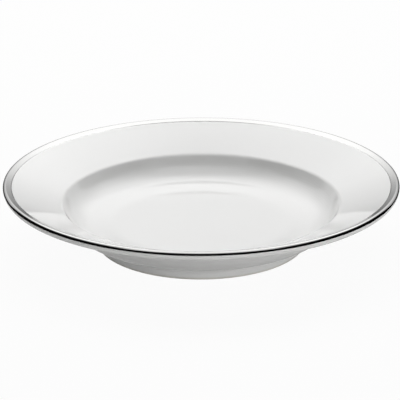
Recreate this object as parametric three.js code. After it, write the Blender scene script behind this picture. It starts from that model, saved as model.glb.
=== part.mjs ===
// A rimmed deep plate of glazed porcelain with a metal band round its edge.
// Millimetres, +Z up. The origin is the middle of the circle that the foot ring stands on.
// Every piece is a revolve of one section, taken at several depths under the finished surface.
import * as THREE from "three";

// Rim: its outer edge is a half round of a tight upper arc and a wide lower one
const RIM_DIAMETER = 240;
const PLATE_HEIGHT = 39.7;
const EDGE_TOP_ROUND = 1.6;
const EDGE_UNDER_ROUND = 4.4;
const RIM_TOP_SLOPE_DEG = 22.3;
const RIM_UNDER_SLOPE_DEG = 21;

// Well: the lip is where the slope of the rim breaks into the wall, and the floor rises in a dish to the wall
const LIP_DIAMETER = 169.2;
const LIP_ROUND = 4;
const UNDER_LIP_ROUND = 3;
const WALL_SLOPE_DEG = 57;
const WALL_THICKNESS = 4;
const WELL_FLOOR_HEIGHT = 12;
const WELL_CORNER_ROUND = 20;
const DISH_WIDTH = 24;
const DISH_SLOPE_DEG = 6;
const DISH_ROUND = 160;
const HEEL_ROUND = 23;

// Foot ring and the recess inside it
const BASE_THICKNESS = 5;
const BASE_OUTER_SLOPE_DEG = 15;
const FOOT_DIAMETER = 128.6;
const FOOT_WIDTH = 5.2;
const FOOT_OUTER_DRAFT_DEG = 4;
const FOOT_INNER_DRAFT_DEG = 12;
const FOOT_BLEND_ROUND = 2.8;
const FOOT_BOTTOM_ROUND = 0.8;
const RECESS_CORNER_ROUND = 2.5;

// Coats: the glaze stops short of the table, and the band is let into the glaze at the edge
const GLAZE_THICKNESS = 0.3;
const GLAZE_LINE_HEIGHT = 1.6;
const BAND_THICKNESS = 0.1;
const BAND_TOP_WIDTH = 5.4;
const BAND_UNDER_REACH = 0.3;

// Facets of the revolve, and steps in each rounding
const TURN_FACETS = 56;
const WIDE_STEPS = 4;
const LIP_STEPS = 3;
const EDGE_STEPS = 4;
const SMALL_STEPS = 2;
const BLEND_STEPS = 3;

const rimRadius = RIM_DIAMETER / 2;
const lipRadius = LIP_DIAMETER / 2;
const footRadius = FOOT_DIAMETER / 2;
const edgeHeight = PLATE_HEIGHT - EDGE_TOP_ROUND;
const recessHeight = WELL_FLOOR_HEIGHT - BASE_THICKNESS;

const topSlope = THREE.MathUtils.degToRad(RIM_TOP_SLOPE_DEG);
const underSlope = THREE.MathUtils.degToRad(RIM_UNDER_SLOPE_DEG);
const wallSlope = THREE.MathUtils.degToRad(WALL_SLOPE_DEG);
const dishSlope = THREE.MathUtils.degToRad(DISH_SLOPE_DEG);
const baseSlope = THREE.MathUtils.degToRad(BASE_OUTER_SLOPE_DEG);
const outerDraft = THREE.MathUtils.degToRad(FOOT_OUTER_DRAFT_DEG);
const innerDraft = THREE.MathUtils.degToRad(FOOT_INNER_DRAFT_DEG);
const quarterTurn = Math.PI / 2;

// A straight stretch of the section: a point on it and the direction that points out of the porcelain.
// In the section x is the distance from the axis and y is the height.
function face(x, y, outward) {
  return { point: new THREE.Vector2(x, y), normal: new THREE.Vector2(Math.cos(outward), Math.sin(outward)) };
}

// The same stretch, sunk below the finished surface.
function sunk(line, depth) {
  return { point: line.point.clone().addScaledVector(line.normal, -depth), normal: line.normal };
}

// Where two straight stretches cross.
function meet(a, b) {
  const along = new THREE.Vector2(-a.normal.y, a.normal.x);
  const gap = b.point.clone().sub(a.point).dot(b.normal);
  return a.point.clone().addScaledVector(along, gap / along.dot(b.normal));
}

// Points along an arc, ends included.
function arc(centre, radius, from, to, steps) {
  return Array.from({ length: steps + 1 }, (_, i) => {
    const angle = from + ((to - from) * i) / steps;
    return new THREE.Vector2(centre.x + radius * Math.cos(angle), centre.y + radius * Math.sin(angle));
  });
}

// The rounding of a corner between two straight stretches, no longer than the shorter of them.
function rounded(before, corner, after, radius, steps) {
  const back = before.clone().sub(corner);
  const ahead = after.clone().sub(corner);
  const halfAngle = Math.abs(back.angleTo(ahead)) / 2;
  const reach = Math.min(radius / Math.tan(halfAngle), back.length(), ahead.length());
  const start = corner.clone().addScaledVector(back.normalize(), reach);
  const end = corner.clone().addScaledVector(ahead.normalize(), reach);
  const middle = back.add(ahead).normalize();
  const centre = corner.clone().addScaledVector(middle, reach / Math.cos(halfAngle));
  const from = Math.atan2(start.y - centre.y, start.x - centre.x);
  const turn = Math.atan2(end.y - centre.y, end.x - centre.x) - from;
  const sweep = Math.atan2(Math.sin(turn), Math.cos(turn));
  return arc(centre, reach * Math.tan(halfAngle), from, from + sweep, steps);
}

// Straight stretches of the finished section, from the middle of the well round to the recess
const topArcCentre = new THREE.Vector2(rimRadius - EDGE_TOP_ROUND, edgeHeight);
const underArcCentre = new THREE.Vector2(rimRadius - EDGE_UNDER_ROUND, edgeHeight);
const topAngle = quarterTurn + topSlope;
const underAngle = underSlope - quarterTurn;
const topTangent = arc(topArcCentre, EDGE_TOP_ROUND, topAngle, 0, EDGE_STEPS)[0];
const underTangent = arc(underArcCentre, EDGE_UNDER_ROUND, underAngle, 0, EDGE_STEPS)[0];

const wellFloor = face(0, WELL_FLOOR_HEIGHT, quarterTurn);
const rimTop = face(topTangent.x, topTangent.y, topAngle);
const lipCorner = meet(rimTop, face(lipRadius, 0, 0));
const innerWall = face(lipCorner.x, lipCorner.y, quarterTurn + wallSlope);
const wallToe = meet(wellFloor, innerWall);
const wellDish = face(wallToe.x - DISH_WIDTH, wallToe.y, quarterTurn + dishSlope);
const rimUnder = face(underTangent.x, underTangent.y, underAngle);
const innerWallBack = sunk(innerWall, WALL_THICKNESS);
const outerWall = face(innerWallBack.point.x, innerWallBack.point.y, wallSlope - quarterTurn);
const bendRound = HEEL_ROUND - WALL_THICKNESS;
const bendCentre = meet(sunk(wellFloor, -bendRound), sunk(innerWall, -bendRound));
const baseAngle = baseSlope - quarterTurn;
const baseTangent = arc(bendCentre, HEEL_ROUND, baseAngle, 0, WIDE_STEPS)[0];
const baseUnder = face(baseTangent.x, baseTangent.y, baseAngle);
const footOuter = face(footRadius, 0, -outerDraft);
const footInner = face(footRadius - FOOT_WIDTH, 0, Math.PI + innerDraft);
const recessCeiling = face(0, recessHeight, -quarterTurn);
const table = face(0, 0, -quarterTurn);
const glazeLine = face(0, GLAZE_LINE_HEIGHT, -quarterTurn);

const bandStart = meet(rimTop, face(rimRadius - BAND_TOP_WIDTH, 0, 0));
const bandEndAngle = -Math.asin(BAND_UNDER_REACH / EDGE_UNDER_ROUND);
const axis = face(0, 0, Math.PI);

// The section at one depth under the finished surface, in stretches that end where a coat ends.
// The foot's bare face stays on the table at every depth.
function sectionAt(depth) {
  const floor = sunk(wellFloor, depth);
  const dish = sunk(wellDish, depth);
  const wall = sunk(innerWall, depth);
  const top = sunk(rimTop, depth);
  const under = sunk(rimUnder, depth);
  const outer = sunk(outerWall, depth);
  const base = sunk(baseUnder, depth);
  const footOut = sunk(footOuter, depth);
  const footIn = sunk(footInner, depth);
  const ceiling = sunk(recessCeiling, depth);

  const wellMiddle = meet(floor, axis);
  const dishStart = meet(floor, dish);
  const wellCorner = meet(dish, wall);
  const lip = meet(wall, top);
  const bandTop = sunk({ point: bandStart, normal: rimTop.normal }, depth).point;
  const topArc = EDGE_TOP_ROUND - depth;
  const underArc = EDGE_UNDER_ROUND - depth;
  const edgeUnder = arc(underArcCentre, underArc, bandEndAngle, underAngle, BLEND_STEPS);
  const underLip = meet(under, outer);
  const heel = meet(outer, base);
  const footTop = meet(base, footOut);
  const footLineOut = meet(footOut, glazeLine);
  const footToe = meet(footOut, table);
  const footHeel = meet(footIn, table);
  const footLineIn = meet(footIn, glazeLine);
  const recessCorner = meet(footIn, ceiling);
  const recessMiddle = meet(ceiling, axis);

  return {
    well: [
      wellMiddle,
      ...rounded(wellMiddle, dishStart, wellCorner, DISH_ROUND + depth, SMALL_STEPS),
      ...rounded(dishStart, wellCorner, lip, WELL_CORNER_ROUND + depth, WIDE_STEPS),
      ...rounded(wellCorner, lip, bandTop, LIP_ROUND - depth, LIP_STEPS),
      bandTop,
    ],
    edge: [
      bandTop,
      ...arc(topArcCentre, topArc, topAngle, 0, EDGE_STEPS),
      edgeUnder[0],
    ],
    under: [
      ...edgeUnder,
      ...rounded(edgeUnder.at(-1), underLip, heel, UNDER_LIP_ROUND + depth, SMALL_STEPS),
      ...rounded(underLip, heel, footTop, HEEL_ROUND - depth, WIDE_STEPS),
      ...rounded(heel, footTop, footLineOut, FOOT_BLEND_ROUND + depth, BLEND_STEPS),
      footLineOut,
    ],
    foot: [
      footLineOut,
      ...rounded(footLineOut, footToe, footHeel, FOOT_BOTTOM_ROUND, SMALL_STEPS),
      ...rounded(footToe, footHeel, footLineIn, FOOT_BOTTOM_ROUND, SMALL_STEPS),
      footLineIn,
    ],
    recess: [
      footLineIn,
      ...rounded(footLineIn, recessCorner, recessMiddle, RECESS_CORNER_ROUND + depth, BLEND_STEPS),
      recessMiddle,
    ],
  };
}

// The same points, from the last to the first.
function backwards(points) {
  return [...points].reverse();
}

// A revolve of an outline about the plate's axis, with its faces pointing out either way round.
// Where two pieces share a surface, their outlines run the same way along it, so that the facets match.
function revolve(outline) {
  const points = outline.filter((p, i) => i === 0 || p.distanceTo(outline[i - 1]) > 0);
  const solid = new THREE.LatheGeometry(points, TURN_FACETS).rotateX(quarterTurn);
  if (THREE.ShapeUtils.isClockWise(points)) {
    const corners = solid.index.array;
    for (let i = 0; i < corners.length; i += 3) corners.subarray(i, i + 3).reverse();
    solid.computeVertexNormals();
  }
  return solid;
}

const finished = sectionAt(0);
const underBand = sectionAt(BAND_THICKNESS);
const bisque = sectionAt(GLAZE_THICKNESS);

const plate = new THREE.Group();
plate.name = "deep_plate";

function addPiece(name, outline, finish) {
  const piece = new THREE.Mesh(revolve(outline), new THREE.MeshStandardMaterial(finish));
  piece.name = name;
  plate.add(piece);
}

// Fired porcelain: rim, well, base and foot ring in one pressed body, bare under the foot
addPiece(
  "porcelain_body",
  backwards([...bisque.well, ...bisque.edge, ...bisque.under, ...bisque.foot, ...bisque.recess]),
  { color: "#e4e1db", roughness: 0.85, metalness: 0 },
);

// Clear glaze over the well, the rim and the outside, down to the glaze line on the foot
addPiece(
  "main_glaze",
  [
    ...[...finished.well, ...underBand.edge, ...finished.under],
    ...backwards([...bisque.well, ...bisque.edge, ...bisque.under]),
  ],
  { color: "#e9e9e8", roughness: 0.08, metalness: 0 },
);

// Clear glaze in the recess, parted from the rest by the bare foot ring
addPiece(
  "base_glaze",
  [...backwards(bisque.recess), ...finished.recess],
  { color: "#e9e9e8", roughness: 0.1, metalness: 0 },
);

// Bright metal band round the edge
addPiece(
  "platinum_band",
  [...underBand.edge, ...backwards(finished.edge), underBand.edge[0]],
  { color: "#d6d6d5", roughness: 0.12, metalness: 1 },
);

export default plate;
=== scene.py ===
"""Studio scene of a rimmed deep plate: glazed porcelain with a fired platinum band on its edge.

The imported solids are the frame. Each of them is stood for by a finely turned mesh of the same section,
and the plate stands on a pale floor, lit by softboxes and seen from where the photograph was taken.
"""

import logging
import math
from dataclasses import dataclass, field
from enum import Enum
from itertools import pairwise
from typing import Any

import bpy
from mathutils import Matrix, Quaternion, Vector


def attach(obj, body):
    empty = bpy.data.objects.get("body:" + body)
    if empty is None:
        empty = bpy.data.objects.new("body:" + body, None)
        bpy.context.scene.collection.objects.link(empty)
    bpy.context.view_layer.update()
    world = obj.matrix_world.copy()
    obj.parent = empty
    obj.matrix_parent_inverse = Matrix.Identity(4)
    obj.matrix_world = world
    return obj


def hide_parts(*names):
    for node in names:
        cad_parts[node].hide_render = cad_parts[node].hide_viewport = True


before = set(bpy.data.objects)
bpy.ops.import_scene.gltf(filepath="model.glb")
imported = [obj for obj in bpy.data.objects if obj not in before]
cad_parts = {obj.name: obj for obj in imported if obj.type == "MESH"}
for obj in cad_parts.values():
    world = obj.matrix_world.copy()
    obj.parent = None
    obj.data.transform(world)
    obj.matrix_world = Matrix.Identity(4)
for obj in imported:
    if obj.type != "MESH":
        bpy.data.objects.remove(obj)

log = logging.getLogger("deep_plate")

MM = 0.001
QUARTER_TURN = math.pi / 2
FULL_TURN = 2 * math.pi
BODY = "root"

# Coats, in millimetres under the finished surface
GLAZE_THICKNESS = 0.3
BAND_THICKNESS = 0.1

# Fineness of the turned meshes: steps of an arc and of the turn, supporting points and shading
ARC_STEP = math.radians(5)
LEAST_ARC_STEPS = 4
TURN_STEPS = 256
SUPPORT = 0.5
LEAST_SUPPORTED = 3 * SUPPORT
SMOOTH_ANGLE = math.radians(40)
WELD = 1e-7

# The floor lies this far under the foot, so that the two never share a plane
FLOOR_GAP = 0.1 * MM

# Sockets of the Mix node where it mixes colours
MIX_SHARE = 0
MIX_FROM = 6
MIX_TO = 7
MIX_RESULT = 2


def linear(hex_colour: str) -> tuple[float, float, float, float]:
    """Turns an sRGB hex value into the linear colour that a shader socket takes.

    Args:
        hex_colour: Six hex digits, with or without a leading hash.

    Returns:
        Linear red, green and blue, and an alpha of one.
    """
    digits = hex_colour.lstrip("#")
    parts = [int(digits[i : i + 2], 16) / 255 for i in (0, 2, 4)]
    red, green, blue = [p / 12.92 if p <= 0.04045 else ((p + 0.055) / 1.055) ** 2.4 for p in parts]
    return red, green, blue, 1.0


def add_node(
    tree: bpy.types.NodeTree,
    kind: str,
    settings: dict[str, Any] | None = None,
    inputs: dict[str | int, Any] | None = None,
) -> bpy.types.Node:
    """Adds a node to a tree with its settings and links.

    Args:
        tree: The node tree that gets the node.
        kind: The node's type name.
        settings: Values of the node's own properties.
        inputs: Input sockets by name or place, each with a value or an output socket to link.

    Returns:
        The new node.
    """
    node = tree.nodes.new(kind)
    for name, value in (settings or {}).items():
        setattr(node, name, value)
    for name, value in (inputs or {}).items():
        if isinstance(value, bpy.types.NodeSocket):
            tree.links.new(value, node.inputs[name])
        else:
            node.inputs[name].default_value = value
    return node


def new_material(name: str) -> tuple[bpy.types.Material, bpy.types.NodeTree, bpy.types.Node]:
    """Makes an empty node material.

    Args:
        name: The material's name.

    Returns:
        The material, its node tree and its output node.
    """
    material = bpy.data.materials.new(name)
    material.use_nodes = True
    tree = material.node_tree
    tree.nodes.clear()
    return material, tree, add_node(tree, "ShaderNodeOutputMaterial")


def per_metre(size_mm: float) -> float:
    """Texture scale that repeats a feature every so many millimetres."""
    return 1 / (size_mm * MM)


class Stretch(Enum):
    """Stretches of the plate's section, each ending where a coat ends."""

    WELL = "well"
    EDGE = "edge"
    UNDER = "under"
    FOOT = "foot"
    RECESS = "recess"


@dataclass(frozen=True)
class Face:
    """A straight stretch of the section: a point on it and the way out of the porcelain."""

    point: Vector
    normal: Vector

    @classmethod
    def at(cls, radius: float, height: float, outward: float) -> "Face":
        """Makes a face through a point.

        Args:
            radius: The point's distance from the plate's axis.
            height: The point's height above the table.
            outward: The angle of the outward direction, from the horizontal.

        Returns:
            The face.
        """
        return cls(Vector((radius, height)), Vector((math.cos(outward), math.sin(outward))))

    @classmethod
    def touching(cls, centre: Vector, radius: float, angle: float) -> "Face":
        """Makes the face that touches a rounding.

        Args:
            centre: The rounding's centre.
            radius: The rounding's radius.
            angle: Where on the rounding the face touches it, which is also its outward direction.

        Returns:
            The face.
        """
        spoke = Vector((math.cos(angle), math.sin(angle)))
        return cls(centre + spoke * radius, spoke)

    def sunk(self, depth: float) -> "Face":
        """The same face at a depth under the finished surface."""
        return Face(self.point - self.normal * depth, self.normal)

    def meet(self, other: "Face") -> Vector:
        """Works out where this face crosses another.

        Args:
            other: The other face.

        Returns:
            The point where the two cross.
        """
        along = Vector((-self.normal.y, self.normal.x))
        gap = (other.point - self.point).dot(other.normal)
        return self.point + along * (gap / along.dot(other.normal))


TABLE = Face.at(0, 0, -QUARTER_TURN)
AXIS = Face.at(0, 0, math.pi)


def arc(centre: Vector, radius: float, start: float, end: float) -> list[Vector]:
    """Points along an arc in even steps, ends included.

    Args:
        centre: The arc's centre.
        radius: The arc's radius.
        start: Angle of the first point.
        end: Angle of the last point.

    Returns:
        The points, no more than ARC_STEP apart in angle.
    """
    steps = max(LEAST_ARC_STEPS, math.ceil(abs(end - start) / ARC_STEP))
    angles = [start + (end - start) * i / steps for i in range(steps + 1)]
    return [centre + Vector((math.cos(a), math.sin(a))) * radius for a in angles]


def rounded(before: Vector, corner: Vector, after: Vector, radius: float) -> list[Vector]:
    """Rounding of a corner between two straight stretches.

    Args:
        before: A point on the stretch that leads to the corner.
        corner: Where the two stretches meet.
        after: A point on the stretch that leaves the corner.
        radius: Radius of the rounding.

    Returns:
        Points of the rounding, from one stretch to the other.
    """
    back = (before - corner).normalized()
    ahead = (after - corner).normalized()
    half_angle = back.angle(ahead) / 2
    reach = radius / math.tan(half_angle)
    centre = corner + (back + ahead).normalized() * (radius / math.sin(half_angle))
    from_centre = corner + back * reach - centre
    to_centre = corner + ahead * reach - centre
    start = math.atan2(from_centre.y, from_centre.x)
    sweep = math.atan2(to_centre.y, to_centre.x) - start
    return arc(centre, radius, start, start + math.atan2(math.sin(sweep), math.cos(sweep)))


def bead(outer: Vector, inner: Vector) -> list[Vector]:
    """Half-round lip where a glaze coat stops, between its two surfaces.

    Args:
        outer: Last point of the coat's outer surface.
        inner: Last point of the coat's inner surface.

    Returns:
        Points of the lip, its two ends left out.
    """
    middle = (outer + inner) / 2
    spoke = outer - middle
    start = math.atan2(spoke.y, spoke.x)
    sweep = math.pi if spoke.x < 0 else -math.pi
    return arc(middle, spoke.length, start, start + sweep)[1:-1]


def supported(outline: list[Vector]) -> list[Vector]:
    """Adds a point close to each end of every long stretch, so that shading keeps it straight.

    Args:
        outline: Points of an outline.

    Returns:
        The outline with its supporting points and without repeated points.
    """
    points = [outline[0]]
    for start, end in pairwise(outline):
        length = (end - start).length
        if length == 0:
            continue
        if length > LEAST_SUPPORTED:
            inset = (end - start) * (SUPPORT / length)
            points += [start + inset, end - inset]
        points.append(end)
    return points


@dataclass(frozen=True)
class PlateSection:
    """Half section of the plate in millimetres, taken at a depth under the finished surface."""

    # Rim and edge
    rim_radius: float = 120.0
    plate_height: float = 39.7
    edge_top_round: float = 1.6
    edge_under_round: float = 4.4
    rim_top_slope: float = math.radians(22.3)
    rim_under_slope: float = math.radians(21)

    # Lip, wall and floor of the well, which dishes up a little before the wall
    lip_radius: float = 84.6
    lip_round: float = 4.0
    under_lip_round: float = 3.0
    wall_slope: float = math.radians(57)
    wall_thickness: float = 4.0
    floor_height: float = 12.0
    well_corner_round: float = 20.0
    dish_width: float = 21.0
    dish_slope: float = math.radians(6)
    dish_round: float = 65.0

    # Heel, base and foot ring
    heel_round: float = 23.0
    base_thickness: float = 5.0
    base_outer_slope: float = math.radians(15)
    foot_radius: float = 64.3
    foot_width: float = 5.2
    foot_outer_draft: float = math.radians(4)
    foot_inner_draft: float = math.radians(12)
    foot_blend_round: float = 5.0
    foot_bottom_round: float = 0.8
    recess_corner_round: float = 2.5

    # Where the coats end, and the verge that the band's inner margin draws
    glaze_line_height: float = 1.6
    band_top_width: float = 5.4
    band_under_reach: float = 0.3
    verge_rise: float = 0.14
    verge_width: float = 0.65
    verge_round: float = 1.0

    @property
    def edge_height(self) -> float:
        """Height of the rim's outermost line above the table."""
        return self.plate_height - self.edge_top_round

    @property
    def top_centre(self) -> Vector:
        """Centre of the edge's upper rounding."""
        return Vector((self.rim_radius - self.edge_top_round, self.edge_height))

    @property
    def under_centre(self) -> Vector:
        """Centre of the edge's lower rounding."""
        return Vector((self.rim_radius - self.edge_under_round, self.edge_height))

    @property
    def top_angle(self) -> float:
        """Angle on the edge's upper rounding at which the rim's upper face leaves it."""
        return QUARTER_TURN + self.rim_top_slope

    @property
    def under_angle(self) -> float:
        """Angle on the edge's lower rounding at which the rim's underside leaves it."""
        return self.rim_under_slope - QUARTER_TURN

    @property
    def rim_top(self) -> Face:
        """The rim's sloping upper face."""
        return Face.touching(self.top_centre, self.edge_top_round, self.top_angle)

    @property
    def rim_under(self) -> Face:
        """The rim's underside."""
        return Face.touching(self.under_centre, self.edge_under_round, self.under_angle)

    @property
    def inner_wall(self) -> Face:
        """The well's wall, which meets the rim at the lip."""
        lip = self.rim_top.meet(Face.at(self.lip_radius, 0, 0))
        return Face.at(lip.x, lip.y, QUARTER_TURN + self.wall_slope)

    @property
    def outer_wall(self) -> Face:
        """The outside of the well's wall."""
        back = self.inner_wall.sunk(self.wall_thickness).point
        return Face.at(back.x, back.y, self.wall_slope - QUARTER_TURN)

    @property
    def floor(self) -> Face:
        """The well's level floor."""
        return Face.at(0, self.floor_height, QUARTER_TURN)

    @property
    def dish(self) -> Face:
        """The outer part of the floor, which rises towards the wall."""
        toe = self.floor.meet(self.inner_wall)
        return Face.at(toe.x - self.dish_width, toe.y, QUARTER_TURN + self.dish_slope)

    @property
    def base_under(self) -> Face:
        """The underside between heel and foot.

        Returns:
            The face that leaves the heel's rounding, which shares its centre with the well's bend.
        """
        bend = self.heel_round - self.wall_thickness
        centre = self.floor.sunk(-bend).meet(self.inner_wall.sunk(-bend))
        return Face.touching(centre, self.heel_round, self.base_outer_slope - QUARTER_TURN)

    @property
    def foot_outside(self) -> Face:
        """The foot ring's outer face."""
        return Face.at(self.foot_radius, 0, -self.foot_outer_draft)

    @property
    def foot_inside(self) -> Face:
        """The foot ring's inner face."""
        return Face.at(self.foot_radius - self.foot_width, 0, math.pi + self.foot_inner_draft)

    @property
    def ceiling(self) -> Face:
        """The underside of the base, inside the foot ring."""
        return Face.at(0, self.floor_height - self.base_thickness, -QUARTER_TURN)

    @property
    def glaze_line(self) -> Face:
        """The level on the foot ring at which both glaze coats end."""
        return Face.at(0, self.glaze_line_height, -QUARTER_TURN)

    @property
    def band_start(self) -> Vector:
        """The band's inner margin on the finished rim."""
        return self.rim_top.meet(Face.at(self.rim_radius - self.band_top_width, 0, 0))

    @property
    def band_end_angle(self) -> float:
        """Angle on the lower rounding at which the band ends."""
        return -math.asin(self.band_under_reach / self.edge_under_round)

    def verge(self) -> list[Vector]:
        """Works out the band's face, which stands a hair above the rim from its inner margin on.

        Returns:
            Points from the inner margin over the edge to the lower margin.
        """
        rim = self.rim_top
        uphill = Vector((rim.normal.y, -rim.normal.x))
        crown = self.band_start + uphill * self.verge_width + rim.normal * self.verge_rise
        spoke = crown - self.top_centre
        bearing = math.atan2(spoke.y, spoke.x) % FULL_TURN
        start = bearing - math.acos(self.edge_top_round / spoke.length)
        edge = arc(self.top_centre, self.edge_top_round, start, 0)
        return [
            self.band_start,
            *rounded(self.band_start, crown, edge[0], self.verge_round),
            *edge,
            *arc(self.under_centre, self.edge_under_round, 0, self.band_end_angle),
        ]

    def margin(self, depth: float) -> Vector:
        """The band's inner margin at a depth."""
        return self.band_start - self.rim_top.normal * depth

    def well(self, depth: float) -> list[Vector]:
        """Works out the well, the lip and the rim's upper face.

        Args:
            depth: Depth under the finished surface, in millimetres.

        Returns:
            Points from the middle of the well to the band's inner margin.
        """
        floor = self.floor.sunk(depth)
        dish = self.dish.sunk(depth)
        wall = self.inner_wall.sunk(depth)
        middle = floor.meet(AXIS)
        dish_start = floor.meet(dish)
        corner = dish.meet(wall)
        lip = wall.meet(self.rim_top.sunk(depth))
        margin = self.margin(depth)
        return [
            middle,
            *rounded(middle, dish_start, corner, self.dish_round + depth),
            *rounded(dish_start, corner, lip, self.well_corner_round + depth),
            *rounded(corner, lip, margin, self.lip_round - depth),
            margin,
        ]

    def edge(self, depth: float) -> list[Vector]:
        """Works out the edge, as far as the band covers it.

        Args:
            depth: Depth under the finished surface, in millimetres.

        Returns:
            Points from the band's inner margin to its lower margin.
        """
        return [
            self.margin(depth),
            *arc(self.top_centre, self.edge_top_round - depth, self.top_angle, 0),
            *arc(self.under_centre, self.edge_under_round - depth, 0, self.band_end_angle),
        ]

    def outside(self, depth: float) -> list[Vector]:
        """Works out the rim's underside, the wall's outside, the heel and the foot's blend.

        Args:
            depth: Depth under the finished surface, in millimetres.

        Returns:
            Points from the band's lower margin to the glaze line outside the foot.
        """
        under_round = self.edge_under_round - depth
        edge = arc(self.under_centre, under_round, self.band_end_angle, self.under_angle)
        wall = self.outer_wall.sunk(depth)
        base = self.base_under.sunk(depth)
        foot = self.foot_outside.sunk(depth)
        under_lip = self.rim_under.sunk(depth).meet(wall)
        heel = wall.meet(base)
        foot_top = base.meet(foot)
        line = foot.meet(self.glaze_line)
        return [
            *edge,
            *rounded(edge[-1], under_lip, heel, self.under_lip_round + depth),
            *rounded(under_lip, heel, foot_top, self.heel_round - depth),
            *rounded(heel, foot_top, line, self.foot_blend_round + depth),
            line,
        ]

    def foot(self, depth: float) -> list[Vector]:
        """Works out the bare foot, which stands on the table.

        Args:
            depth: Depth under the finished surface of the foot's two sides, in millimetres.

        Returns:
            Points from the glaze line outside the foot to the one inside it.
        """
        outside = self.foot_outside.sunk(depth)
        inside = self.foot_inside.sunk(depth)
        line_out = outside.meet(self.glaze_line)
        toe_out = outside.meet(TABLE)
        toe_in = inside.meet(TABLE)
        line_in = inside.meet(self.glaze_line)
        return [
            line_out,
            *rounded(line_out, toe_out, toe_in, self.foot_bottom_round),
            *rounded(toe_out, toe_in, line_in, self.foot_bottom_round),
            line_in,
        ]

    def recess(self, depth: float) -> list[Vector]:
        """Works out the recess inside the foot ring.

        Args:
            depth: Depth under the finished surface, in millimetres.

        Returns:
            Points from the glaze line inside the foot to the middle of the recess.
        """
        inside = self.foot_inside.sunk(depth)
        ceiling = self.ceiling.sunk(depth)
        line = inside.meet(self.glaze_line)
        corner = inside.meet(ceiling)
        middle = ceiling.meet(AXIS)
        return [
            line,
            *rounded(line, corner, middle, self.recess_corner_round + depth),
            middle,
        ]

    def at_depth(self, depth: float) -> dict[Stretch, list[Vector]]:
        """Works out the whole section at one depth.

        Args:
            depth: Depth under the finished surface, in millimetres.

        Returns:
            Points of each stretch, from the middle of the well round to the middle of the recess.
        """
        return {
            Stretch.WELL: self.well(depth),
            Stretch.EDGE: self.edge(depth),
            Stretch.UNDER: self.outside(depth),
            Stretch.FOOT: self.foot(depth),
            Stretch.RECESS: self.recess(depth),
        }


def turn(name: str, outline: list[Vector]) -> bpy.types.Object:
    """Draws an outline by extruding one vertex along it, and spins it about the plate's axis.

    Args:
        name: Name of the new object.
        outline: Points in millimetres: distance from the axis and height. It starts and ends on the
            axis, or ends where it starts.

    Returns:
        The turned object, at the origin, closed, smooth and with its faces outwards.
    """
    points = [Vector((p.x, 0, p.y)) * MM for p in supported(outline)]
    bpy.ops.object.select_all(action="DESELECT")
    bpy.ops.mesh.primitive_plane_add(size=MM, location=points[0])
    piece = bpy.context.active_object
    piece.name = name
    piece.data.name = name
    bpy.ops.object.transform_apply(location=True, rotation=True, scale=True)
    bpy.ops.object.mode_set(mode="EDIT")
    bpy.ops.mesh.merge(type="CENTER")
    for here, there in pairwise(points):
        bpy.ops.mesh.extrude_region_move(TRANSFORM_OT_translate={"value": there - here})
    bpy.ops.mesh.select_all(action="SELECT")
    bpy.ops.mesh.spin(steps=TURN_STEPS, angle=FULL_TURN, center=(0, 0, 0), axis=(0, 0, 1))
    bpy.ops.mesh.select_all(action="SELECT")
    bpy.ops.mesh.remove_doubles(threshold=WELD)
    bpy.ops.mesh.normals_make_consistent(inside=False)
    bpy.ops.object.mode_set(mode="OBJECT")
    bpy.ops.object.shade_smooth_by_angle(angle=SMOOTH_ANGLE)
    return piece


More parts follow.
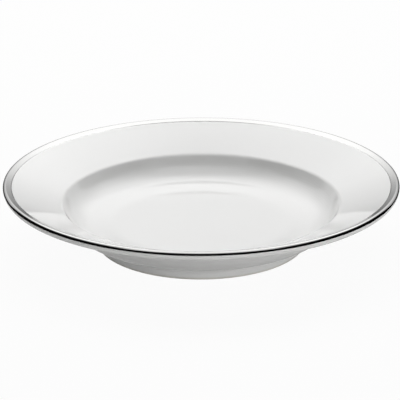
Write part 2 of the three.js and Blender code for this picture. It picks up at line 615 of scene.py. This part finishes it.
@dataclass(frozen=True)
class GlazedPorcelain:
    """Hard-paste porcelain under a clear fired glaze: a bright, even white with a wet gloss."""

    name: str = "glazed_porcelain"
    white: str = "#e7e7e6"
    shade: str = "#e4e4e3"
    speck: str = "#d9d4ca"
    ior: float = 1.55
    roughness_low: float = 0.05
    roughness_high: float = 0.085
    cloud_mm: float = 45.0
    ripple_mm: float = 3.5
    ripple_height_mm: float = 0.004
    speck_spacing_mm: float = 11.0
    speck_share: float = 0.016

    def build(self) -> bpy.types.Material:
        """Makes the material.

        Returns:
            Porcelain white with slow clouds, rare faint specks and the soft ripple of a fired glaze.
        """
        material, tree, output = new_material(self.name)
        place = add_node(tree, "ShaderNodeTexCoord").outputs["Object"]
        clouds = add_node(
            tree,
            "ShaderNodeTexNoise",
            inputs={"Vector": place, "Scale": per_metre(self.cloud_mm), "Detail": 3.0},
        )
        body = add_node(
            tree,
            "ShaderNodeMix",
            {"data_type": "RGBA"},
            {
                MIX_SHARE: clouds.outputs["Fac"],
                MIX_FROM: linear(self.white),
                MIX_TO: linear(self.shade),
            },
        )
        # Specks of iron in the clay, under half a millimetre, show faintly through the glaze
        cells = add_node(
            tree,
            "ShaderNodeTexVoronoi",
            inputs={"Vector": place, "Scale": per_metre(self.speck_spacing_mm)},
        )
        dot = add_node(
            tree,
            "ShaderNodeMapRange",
            {"interpolation_type": "SMOOTHSTEP"},
            {"Value": cells.outputs["Distance"], "From Min": self.speck_share, "From Max": 0.0},
        )
        colour = add_node(
            tree,
            "ShaderNodeMix",
            {"data_type": "RGBA"},
            {
                MIX_SHARE: dot.outputs["Result"],
                MIX_FROM: body.outputs[MIX_RESULT],
                MIX_TO: linear(self.speck),
            },
        )
        # The glaze lies in a long soft ripple, and is a little less glossy where it is thin
        ripple = add_node(
            tree,
            "ShaderNodeTexNoise",
            inputs={"Vector": place, "Scale": per_metre(self.ripple_mm), "Detail": 1.0},
        )
        gloss = add_node(
            tree,
            "ShaderNodeMapRange",
            inputs={
                "Value": clouds.outputs["Fac"],
                "To Min": self.roughness_low,
                "To Max": self.roughness_high,
            },
        )
        bump = add_node(
            tree,
            "ShaderNodeBump",
            inputs={
                "Strength": 1.0,
                "Distance": self.ripple_height_mm * MM,
                "Height": ripple.outputs["Fac"],
            },
        )
        shader = add_node(
            tree,
            "ShaderNodeBsdfPrincipled",
            inputs={
                "Base Color": colour.outputs[MIX_RESULT],
                "Roughness": gloss.outputs["Result"],
                "Normal": bump.outputs["Normal"],
                "IOR": self.ior,
            },
        )
        tree.links.new(shader.outputs["BSDF"], output.inputs["Surface"])
        return material


@dataclass(frozen=True)
class BiscuitPorcelain:
    """Fired porcelain without glaze, ground smooth under the foot: matt, warm white, fine in grain."""

    name: str = "biscuit_porcelain"
    clay: str = "#dcdad5"
    grain: str = "#cfccc5"
    rubbed: str = "#b6b4af"
    roughness_low: float = 0.62
    roughness_high: float = 0.85
    grain_mm: float = 0.35
    grain_height_mm: float = 0.02
    rub_mm: float = 6.0
    rub_reach_mm: float = 0.25

    def build(self) -> bpy.types.Material:
        """Makes the material.

        Returns:
            Grainy matt porcelain, greyed in patches where the foot rubs on tables.
        """
        material, tree, output = new_material(self.name)
        place = add_node(tree, "ShaderNodeTexCoord").outputs["Object"]
        grain = add_node(
            tree,
            "ShaderNodeTexNoise",
            inputs={"Vector": place, "Scale": per_metre(self.grain_mm), "Detail": 4.0},
        )
        clay = add_node(
            tree,
            "ShaderNodeMix",
            {"data_type": "RGBA"},
            {
                MIX_SHARE: grain.outputs["Fac"],
                MIX_FROM: linear(self.clay),
                MIX_TO: linear(self.grain),
            },
        )
        # Rubbing marks lie in patches, and only on the face that meets the table
        patches = add_node(
            tree,
            "ShaderNodeTexNoise",
            inputs={"Vector": place, "Scale": per_metre(self.rub_mm), "Detail": 5.0},
        )
        height = add_node(tree, "ShaderNodeSeparateXYZ", inputs={0: place})
        low = add_node(
            tree,
            "ShaderNodeMapRange",
            inputs={
                "Value": height.outputs["Z"],
                "From Min": self.rub_reach_mm * MM,
                "From Max": 0.0,
            },
        )
        rub = add_node(
            tree,
            "ShaderNodeMath",
            {"operation": "MULTIPLY"},
            {0: low.outputs["Result"], 1: patches.outputs["Fac"]},
        )
        colour = add_node(
            tree,
            "ShaderNodeMix",
            {"data_type": "RGBA"},
            {
                MIX_SHARE: rub.outputs[0],
                MIX_FROM: clay.outputs[MIX_RESULT],
                MIX_TO: linear(self.rubbed),
            },
        )
        dull = add_node(
            tree,
            "ShaderNodeMapRange",
            inputs={
                "Value": grain.outputs["Fac"],
                "To Min": self.roughness_low,
                "To Max": self.roughness_high,
            },
        )
        bump = add_node(
            tree,
            "ShaderNodeBump",
            inputs={
                "Strength": 1.0,
                "Distance": self.grain_height_mm * MM,
                "Height": grain.outputs["Fac"],
            },
        )
        shader = add_node(
            tree,
            "ShaderNodeBsdfPrincipled",
            inputs={
                "Base Color": colour.outputs[MIX_RESULT],
                "Roughness": dull.outputs["Result"],
                "Normal": bump.outputs["Normal"],
            },
        )
        tree.links.new(shader.outputs["BSDF"], output.inputs["Surface"])
        return material


@dataclass(frozen=True)
class PlatinumLustre:
    """Platinum brushed on in a turn of the wheel and fired: a mirror with fine marks along the band."""

    margin_radius_mm: float
    name: str = "platinum_lustre"
    bright: str = "#b9b9b8"
    thin: str = "#adadac"
    # Painted shade: a darker grey over a narrow width at the inner margin paints a dark reflection line
    # there
    margin: str = "#b0b0af"
    margin_shade_width_mm: float = 0.8
    roughness_low: float = 0.07
    roughness_high: float = 0.16
    brush_mm: float = 0.3
    brush_turn: float = 9.0
    brush_height_mm: float = 0.001

    def build(self) -> bpy.types.Material:
        """Makes the material.

        Returns:
            Bright metal with brush marks that run round the edge, drawn coarse enough to show, and a
            painted dark reflection line along its inner margin.
        """
        material, tree, output = new_material(self.name)
        place = add_node(tree, "ShaderNodeTexCoord").outputs["Object"]
        axes = add_node(tree, "ShaderNodeSeparateXYZ", inputs={0: place})
        spoke = add_node(
            tree,
            "ShaderNodeCombineXYZ",
            inputs={"X": axes.outputs["X"], "Y": axes.outputs["Y"]},
        )
        radius = add_node(tree, "ShaderNodeVectorMath", {"operation": "LENGTH"}, {0: spoke.outputs[0]})
        # Marks change fast across the band and slowly along it
        way = add_node(tree, "ShaderNodeVectorMath", {"operation": "NORMALIZE"}, {0: spoke.outputs[0]})
        along = add_node(
            tree,
            "ShaderNodeVectorMath",
            {"operation": "SCALE"},
            {0: way.outputs[0], "Scale": self.brush_turn * self.brush_mm * MM},
        )
        across = add_node(
            tree,
            "ShaderNodeMath",
            {"operation": "ADD"},
            {0: radius.outputs["Value"], 1: axes.outputs["Z"]},
        )
        rise = add_node(tree, "ShaderNodeCombineXYZ", inputs={"Z": across.outputs[0]})
        wound = add_node(
            tree,
            "ShaderNodeVectorMath",
            {"operation": "ADD"},
            {0: along.outputs[0], 1: rise.outputs[0]},
        )
        marks = add_node(
            tree,
            "ShaderNodeTexNoise",
            inputs={"Vector": wound.outputs[0], "Scale": per_metre(self.brush_mm), "Detail": 2.0},
        )
        brushed = add_node(
            tree,
            "ShaderNodeMix",
            {"data_type": "RGBA"},
            {
                MIX_SHARE: marks.outputs["Fac"],
                MIX_FROM: linear(self.bright),
                MIX_TO: linear(self.thin),
            },
        )
        # Painted shade: the metal is darkened towards its inner margin, a painted dark reflection line
        # along it
        margin_shade_mask = add_node(
            tree,
            "ShaderNodeMapRange",
            {"interpolation_type": "SMOOTHSTEP"},
            {
                "Value": radius.outputs["Value"],
                "From Min": self.margin_radius_mm * MM,
                "From Max": (self.margin_radius_mm + self.margin_shade_width_mm) * MM,
            },
        )
        colour = add_node(
            tree,
            "ShaderNodeMix",
            {"data_type": "RGBA"},
            {
                MIX_SHARE: margin_shade_mask.outputs["Result"],
                MIX_FROM: linear(self.margin),
                MIX_TO: brushed.outputs[MIX_RESULT],
            },
        )
        gloss = add_node(
            tree,
            "ShaderNodeMapRange",
            inputs={
                "Value": marks.outputs["Fac"],
                "To Min": self.roughness_low,
                "To Max": self.roughness_high,
            },
        )
        bump = add_node(
            tree,
            "ShaderNodeBump",
            inputs={
                "Strength": 1.0,
                "Distance": self.brush_height_mm * MM,
                "Height": marks.outputs["Fac"],
            },
        )
        shader = add_node(
            tree,
            "ShaderNodeBsdfPrincipled",
            inputs={
                "Base Color": colour.outputs[MIX_RESULT],
                "Metallic": 1.0,
                "Roughness": gloss.outputs["Result"],
                "Normal": bump.outputs["Normal"],
            },
        )
        tree.links.new(shader.outputs["BSDF"], output.inputs["Surface"])
        return material


def dress(piece: bpy.types.Object, finish: bpy.types.Material, node: str) -> None:
    """Gives a piece its finish and its place in the frame.

    Args:
        piece: The piece.
        finish: Its material.
        node: The CAD node that it stands for.
    """
    piece.data.materials.clear()
    piece.data.materials.append(finish)
    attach(piece, BODY)
    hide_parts(node)
    log.info("%s stands for %s, %d faces", piece.name, node, len(piece.data.polygons))


@dataclass
class PorcelainBody:
    """The pressed body: rim, well, base and foot ring, bare under the foot."""

    section: PlateSection
    glaze_thickness: float
    finish: BiscuitPorcelain = field(default_factory=BiscuitPorcelain)

    def build(self) -> bpy.types.Object:
        """Turns the body from the section under the glaze."""
        bare = self.section.at_depth(self.glaze_thickness)
        return turn("plate_body", [point for stretch in Stretch for point in bare[stretch]])

    def make(self) -> None:
        """Builds the body and dresses it."""
        dress(self.build(), self.finish.build(), "porcelain_body")


@dataclass
class GlazeCoats:
    """The two glaze coats: over the whole plate, and in the recess inside the foot ring."""

    section: PlateSection
    glaze_thickness: float
    band_thickness: float
    finish: GlazedPorcelain = field(default_factory=GlazedPorcelain)

    def build_main(self) -> bpy.types.Object:
        """Turns the coat over well, rim and outside, let down under the band.

        Returns:
            The coat, which ends in a half-round lip at the glaze line.
        """
        outside = self.section.at_depth(0)
        seat = self.section.at_depth(self.band_thickness)
        bare = self.section.at_depth(self.glaze_thickness)
        outer = [*outside[Stretch.WELL], *seat[Stretch.EDGE], *outside[Stretch.UNDER]]
        inner = [*bare[Stretch.WELL], *bare[Stretch.EDGE], *bare[Stretch.UNDER]][::-1]
        return turn("glaze_coat", [*outer, *bead(outer[-1], inner[0]), *inner])

    def build_base(self) -> bpy.types.Object:
        """Turns the coat inside the foot ring.

        Returns:
            The coat, which ends in a half-round lip at the glaze line.
        """
        outer = self.section.at_depth(0)[Stretch.RECESS][::-1]
        inner = self.section.at_depth(self.glaze_thickness)[Stretch.RECESS]
        return turn("recess_glaze", [*outer, *bead(outer[-1], inner[0]), *inner])

    def make(self) -> None:
        """Builds both coats and dresses them."""
        glaze = self.finish.build()
        dress(self.build_main(), glaze, "main_glaze")
        dress(self.build_base(), glaze, "base_glaze")


@dataclass
class MetalBand:
    """The fired metal band round the edge, on a verge that stands a hair above the rim."""

    section: PlateSection
    band_thickness: float

    def build(self) -> bpy.types.Object:
        """Turns the band from the verge outside and its seat in the glaze inside.

        Returns:
            The band, as a closed ring.
        """
        outer = self.section.verge()
        inner = self.section.at_depth(self.band_thickness)[Stretch.EDGE][::-1]
        return turn("rim_band", [*outer, *inner, outer[0]])

    def make(self) -> None:
        """Builds the band and dresses it."""
        finish = PlatinumLustre(margin_radius_mm=self.section.band_start.x)
        dress(self.build(), finish.build(), "platinum_band")


@dataclass
class PhotoCamera:
    """Camera at the photograph's place, with its distance and lens fitted to the plate's circles."""

    target: Vector
    distance: float = 1.2
    elevation: float = math.radians(19.985)
    roll: float = 0.0033
    focal_px: float = 1975.4
    frame_px: float = 400.0
    target_px: tuple[float, float] = (201.09, 181.12)

    def make(self) -> None:
        """Adds the camera, aimed so that its target lands on its own pixel of the photograph."""
        back = Vector((0, -math.cos(self.elevation), math.sin(self.elevation)))
        tilt = Quaternion(back, -self.roll)
        right = tilt @ Vector((1, 0, 0))
        up = back.cross(right)
        across = (self.target_px[0] - self.frame_px / 2) / self.focal_px
        above = (self.frame_px / 2 - self.target_px[1]) / self.focal_px
        aim = (-back - right * across - up * above).to_track_quat("-Z", "Y")
        bpy.ops.object.camera_add(location=self.target + back * self.distance)
        camera = bpy.context.active_object
        camera.name = "photo_camera"
        camera.rotation_euler = (tilt @ aim).to_euler()
        camera.data.lens = self.focal_px / self.frame_px * camera.data.sensor_width
        bpy.context.scene.camera = camera


def leave_to_gloss(card: bpy.types.Object) -> None:
    """Leaves a card of the studio to be seen in reflections only: it neither shades nor lights.

    Args:
        card: The card.
    """
    card.visible_camera = False
    card.visible_diffuse = False
    card.visible_transmission = False
    card.visible_volume_scatter = False
    card.visible_shadow = False


@dataclass(frozen=True)
class StandingCard:
    """A card that only gloss can see, as a screen or a flag stands beside a set, in metres."""

    name: str
    corner_low: tuple[float, float, float]
    corner_high: tuple[float, float, float]
    strength_low: float
    strength_high: float

    def build(self) -> None:
        """Stands the card up from one corner to the other, graded from its foot to its top."""
        low = Vector(self.corner_low)
        high = Vector(self.corner_high)
        bpy.ops.object.select_all(action="DESELECT")
        bpy.ops.mesh.primitive_plane_add(size=1.0)
        card = bpy.context.active_object
        card.name = self.name
        along = Vector((high.x - low.x, high.y - low.y, 0))
        middle = (low + high) / 2
        bpy.ops.object.mode_set(mode="EDIT")
        bpy.ops.transform.resize(value=(along.length, high.z - low.z, 1))
        bpy.ops.object.mode_set(mode="OBJECT")
        card.rotation_euler = (QUARTER_TURN, 0, math.atan2(along.y, along.x))
        card.location = middle
        bpy.ops.object.transform_apply(location=True, rotation=True, scale=True)
        card.data.materials.append(self.paint())
        leave_to_gloss(card)

    def paint(self) -> bpy.types.Material:
        """Makes the card's graded paint.

        Returns:
            A glow that runs evenly from the strength at the foot to the strength at the top.
        """
        material, tree, output = new_material(self.name + "_paint")
        place = add_node(tree, "ShaderNodeTexCoord").outputs["Object"]
        height = add_node(tree, "ShaderNodeSeparateXYZ", inputs={0: place})
        grade = add_node(
            tree,
            "ShaderNodeMapRange",
            inputs={
                "Value": height.outputs["Z"],
                "From Min": self.corner_low[2],
                "From Max": self.corner_high[2],
                "To Min": self.strength_low,
                "To Max": self.strength_high,
            },
        )
        glow = add_node(tree, "ShaderNodeEmission", inputs={"Strength": grade.outputs["Result"]})
        tree.links.new(glow.outputs[0], output.inputs["Surface"])
        return material


@dataclass(frozen=True)
class LevelCard:
    """A level ring that only gloss can see, round or wider one way, in metres."""

    name: str
    middle: tuple[float, float, float]
    inner_radius: float
    outer_radii: tuple[float, float]
    strength: float
    vertices: int = 96

    def build(self) -> None:
        """Lays the ring out from its inner circle and gives it an even glow."""
        bpy.ops.object.select_all(action="DESELECT")
        bpy.ops.mesh.primitive_circle_add(
            vertices=self.vertices,
            radius=self.inner_radius,
            location=self.middle,
        )
        ring = bpy.context.active_object
        ring.name = self.name
        wide, deep = (radius / self.inner_radius for radius in self.outer_radii)
        bpy.ops.object.mode_set(mode="EDIT")
        bpy.ops.mesh.select_all(action="SELECT")
        bpy.ops.mesh.extrude_region_move()
        bpy.ops.transform.resize(value=(wide, deep, 1), center_override=self.middle)
        bpy.ops.object.mode_set(mode="OBJECT")
        bpy.ops.object.transform_apply(location=True, rotation=True, scale=True)
        material, tree, output = new_material(self.name + "_paint")
        glow = add_node(tree, "ShaderNodeEmission", inputs={"Strength": self.strength})
        tree.links.new(glow.outputs[0], output.inputs["Surface"])
        ring.data.materials.append(material)
        leave_to_gloss(ring)


@dataclass(frozen=True)
class Softbox:
    """A lamp with a cloth front that faces the plate and fades out towards its edges.

    Sizes and distance are in metres, bearing and elevation in degrees. The bearing goes round from
    the camera's side, by the right, to the back.
    """

    name: str
    size: tuple[float, float]
    bearing: float
    elevation: float
    distance: float
    watts: float
    shows_in_gloss: bool = False
    feather: float = 0.4

    def build(self) -> None:
        """Hangs the lamp, turned to the plate."""
        swing = math.radians(self.bearing)
        rise = math.radians(self.elevation)
        ground = math.cos(rise)
        way = Vector((ground * math.sin(swing), -ground * math.cos(swing), math.sin(rise)))
        bpy.ops.object.light_add(type="AREA", location=way * self.distance)
        lamp = bpy.context.active_object
        lamp.name = self.name
        lamp.rotation_euler = (-way).to_track_quat("-Z", "Y").to_euler()
        lamp.data.shape = "RECTANGLE"
        lamp.data.size = self.size[0]
        lamp.data.size_y = self.size[1]
        lamp.data.energy = self.watts
        lamp.visible_camera = False
        lamp.visible_glossy = self.shows_in_gloss
        self.fade(lamp.data)

    def fade(self, lamp: bpy.types.AreaLight) -> None:
        """Lets the front fade out towards its edges, by how far a spot is from the middle.

        Args:
            lamp: The lamp.
        """
        middle = 0.5
        lamp.use_nodes = True
        tree = lamp.node_tree
        tree.nodes.clear()
        spot = add_node(tree, "ShaderNodeNewGeometry").outputs["Parametric"]
        sides = add_node(tree, "ShaderNodeSeparateXYZ", inputs={0: spot})
        fades = []
        for side in ("X", "Y"):
            off = add_node(
                tree,
                "ShaderNodeMath",
                {"operation": "SUBTRACT"},
                {0: sides.outputs[side], 1: middle},
            )
            far = add_node(tree, "ShaderNodeMath", {"operation": "ABSOLUTE"}, {0: off.outputs[0]})
            fade = add_node(
                tree,
                "ShaderNodeMapRange",
                {"interpolation_type": "SMOOTHSTEP"},
                {"Value": far.outputs[0], "From Min": middle, "From Max": middle - self.feather},
            )
            fades.append(fade.outputs["Result"])
        both = add_node(
            tree,
            "ShaderNodeMath",
            {"operation": "MULTIPLY"},
            {0: fades[0], 1: fades[1]},
        )
        glow = add_node(tree, "ShaderNodeEmission", inputs={"Strength": both.outputs[0]})
        output = add_node(tree, "ShaderNodeOutputLight")
        tree.links.new(glow.outputs[0], output.inputs["Surface"])


# The wide softbox gives the shading, the three in front of it give the glints, and the rest fill in
SOFTBOXES = (
    Softbox("wide_softbox", (3.4, 1.7), 184, 60, 1.25, 49.5),
    Softbox("small_softbox", (1.4, 1.4), 180, 48, 1.15, 7.2, shows_in_gloss=True),
    Softbox("left_back_softbox", (1.0, 1.2), 223, 53, 1.2, 3.8, shows_in_gloss=True),
    Softbox("right_back_softbox", (1.0, 1.2), 137, 53, 1.2, 3.8, shows_in_gloss=True),
    Softbox("right_fill", (0.8, 0.4), 62, 12, 1.2, 6.6),
    Softbox("left_fill", (0.8, 0.4), -50, 12, 1.2, 2.4),
    Softbox("front_strip", (1.0, 0.16), 0, 4, 1.0, 4.8),
    Softbox("right_strip", (0.8, 0.16), 45, 4, 1.0, 3.8),
)


@dataclass
class Studio:
    """Pale floor, softboxes, a dim room and cards that only gloss can see, in metres."""

    floor_size: float = 6.0
    floor_tint: str = "#cfcfce"
    floor_glow: float = 0.95
    lamps: tuple[Softbox, ...] = SOFTBOXES
    room_level: float = 0.03
    dark_strength: float = 0.004

    # Level cards: the plate's own shade, a dark ring round it and a bright disc overhead
    shade_strength: float = 0.5
    shade_height: float = 0.5 * MM
    shade_start: float = 0.02
    dark_ring: tuple[float, float] = (0.165, 2.5)
    disc_middle: tuple[float, float, float] = (0.0, -0.18, 1.3)
    disc_start: float = MM
    disc_radii: tuple[float, float] = (0.6, 0.3)
    disc_strength: float = 2.1

    # Standing cards: right-hand corners of the dark cards and the graded screen, and their heights
    front_corner: tuple[float, float] = (1.0, -0.9)
    side_corner: tuple[float, float] = (1.6, 1.35)
    screen_corner: tuple[float, float] = (3.0, 1.6)
    front_card_top: float = 1.0
    side_card_top: float = 1.3
    screen_heights: tuple[float, float] = (0.25, 0.7)
    screen_strengths: tuple[float, float, float] = (0.04, 0.45, 1.0)

    def seen_by_view(self, tree: bpy.types.NodeTree) -> bpy.types.NodeSocket:
        """One for camera, gloss and transmission rays, which see the white background, else zero.

        Args:
            tree: The node tree that asks.

        Returns:
            The socket that holds the answer.
        """
        path = add_node(tree, "ShaderNodeLightPath")
        gloss = add_node(
            tree,
            "ShaderNodeMath",
            {"operation": "MAXIMUM"},
            {0: path.outputs["Is Camera Ray"], 1: path.outputs["Is Glossy Ray"]},
        )
        return add_node(
            tree,
            "ShaderNodeMath",
            {"operation": "MAXIMUM"},
            {0: gloss.outputs[0], 1: path.outputs["Is Transmission Ray"]},
        ).outputs[0]

    def add_floor(self) -> None:
        """Lays the pale floor, which glows towards the camera so that only shadows show on it."""
        bpy.ops.object.select_all(action="DESELECT")
        bpy.ops.mesh.primitive_plane_add(size=self.floor_size, location=(0, 0, -FLOOR_GAP))
        floor = bpy.context.active_object
        floor.name = "studio_floor"
        bpy.ops.object.transform_apply(location=True, rotation=True, scale=True)
        material, tree, output = new_material("studio_floor_paint")
        paint = add_node(tree, "ShaderNodeBsdfDiffuse", inputs={"Color": linear(self.floor_tint)})
        glow = add_node(tree, "ShaderNodeEmission")
        share = add_node(
            tree,
            "ShaderNodeMath",
            {"operation": "MULTIPLY"},
            {0: self.seen_by_view(tree), 1: self.floor_glow},
        )
        mix = add_node(
            tree,
            "ShaderNodeMixShader",
            inputs={0: share.outputs[0], 1: paint.outputs[0], 2: glow.outputs[0]},
        )
        tree.links.new(mix.outputs[0], output.inputs["Surface"])
        floor.data.materials.append(material)

    def add_level_cards(self) -> None:
        """Lays the shade and the dark ring on the floor, and hangs the bright disc."""
        inner, outer = self.dark_ring
        floor = (0.0, 0.0, self.shade_height)
        for card in (
            LevelCard("shaded_floor", floor, self.shade_start, (inner, inner), self.shade_strength),
            LevelCard("dark_floor_ring", floor, inner, (outer, outer), self.dark_strength),
            LevelCard(
                "bright_disc",
                self.disc_middle,
                self.disc_start,
                self.disc_radii,
                self.disc_strength,
            ),
        ):
            card.build()

    def add_standing_cards(self) -> None:
        """Stands the dark cards in front and at the sides, and the graded screen behind."""
        front_x, front_y = self.front_corner
        side_x, side_y = self.side_corner
        wide, behind = self.screen_corner
        step, top = self.screen_heights
        low, middle, high = self.screen_strengths
        dark = (self.dark_strength, self.dark_strength)
        front_top = self.front_card_top
        side_top = self.side_card_top
        for card in (
            StandingCard("front_card", (-front_x, front_y, 0.0), (front_x, front_y, front_top), *dark),
            StandingCard("left_card", (-front_x, front_y, 0.0), (-side_x, side_y, side_top), *dark),
            StandingCard("right_card", (front_x, front_y, 0.0), (side_x, side_y, side_top), *dark),
            StandingCard("back_screen_foot", (-wide, behind, 0.0), (wide, behind, step), low, middle),
            StandingCard("back_screen", (-wide, behind, step), (wide, behind, top), middle, high),
        ):
            card.build()

    def add_room(self) -> None:
        """Sets a dim even room light and a white background."""
        world = bpy.data.worlds.new("studio_room")
        bpy.context.scene.world = world
        world.use_nodes = True
        tree = world.node_tree
        tree.nodes.clear()
        white = (1, 1, 1, 1)
        room = add_node(
            tree,
            "ShaderNodeBackground",
            inputs={"Color": white, "Strength": self.room_level},
        )
        backdrop = add_node(tree, "ShaderNodeBackground", inputs={"Color": white})
        mix = add_node(
            tree,
            "ShaderNodeMixShader",
            inputs={0: self.seen_by_view(tree), 1: room.outputs[0], 2: backdrop.outputs[0]},
        )
        output = add_node(tree, "ShaderNodeOutputWorld")
        tree.links.new(mix.outputs[0], output.inputs["Surface"])

    def make(self) -> None:
        """Sets the stage and the lights."""
        self.add_floor()
        self.add_level_cards()
        self.add_standing_cards()
        for lamp in self.lamps:
            lamp.build()
        self.add_room()
        bpy.context.scene.view_settings.view_transform = "Standard"


def main() -> None:
    """Builds the plate and the studio."""
    logging.basicConfig(level=logging.INFO, format="%(name)s: %(message)s")
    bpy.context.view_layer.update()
    section = PlateSection()
    PhotoCamera(target=Vector((0, 0, section.edge_height * MM))).make()
    PorcelainBody(section, GLAZE_THICKNESS).make()
    GlazeCoats(section, GLAZE_THICKNESS, BAND_THICKNESS).make()
    MetalBand(section, BAND_THICKNESS).make()
    Studio().make()


if __name__ == "__main__":
    main()
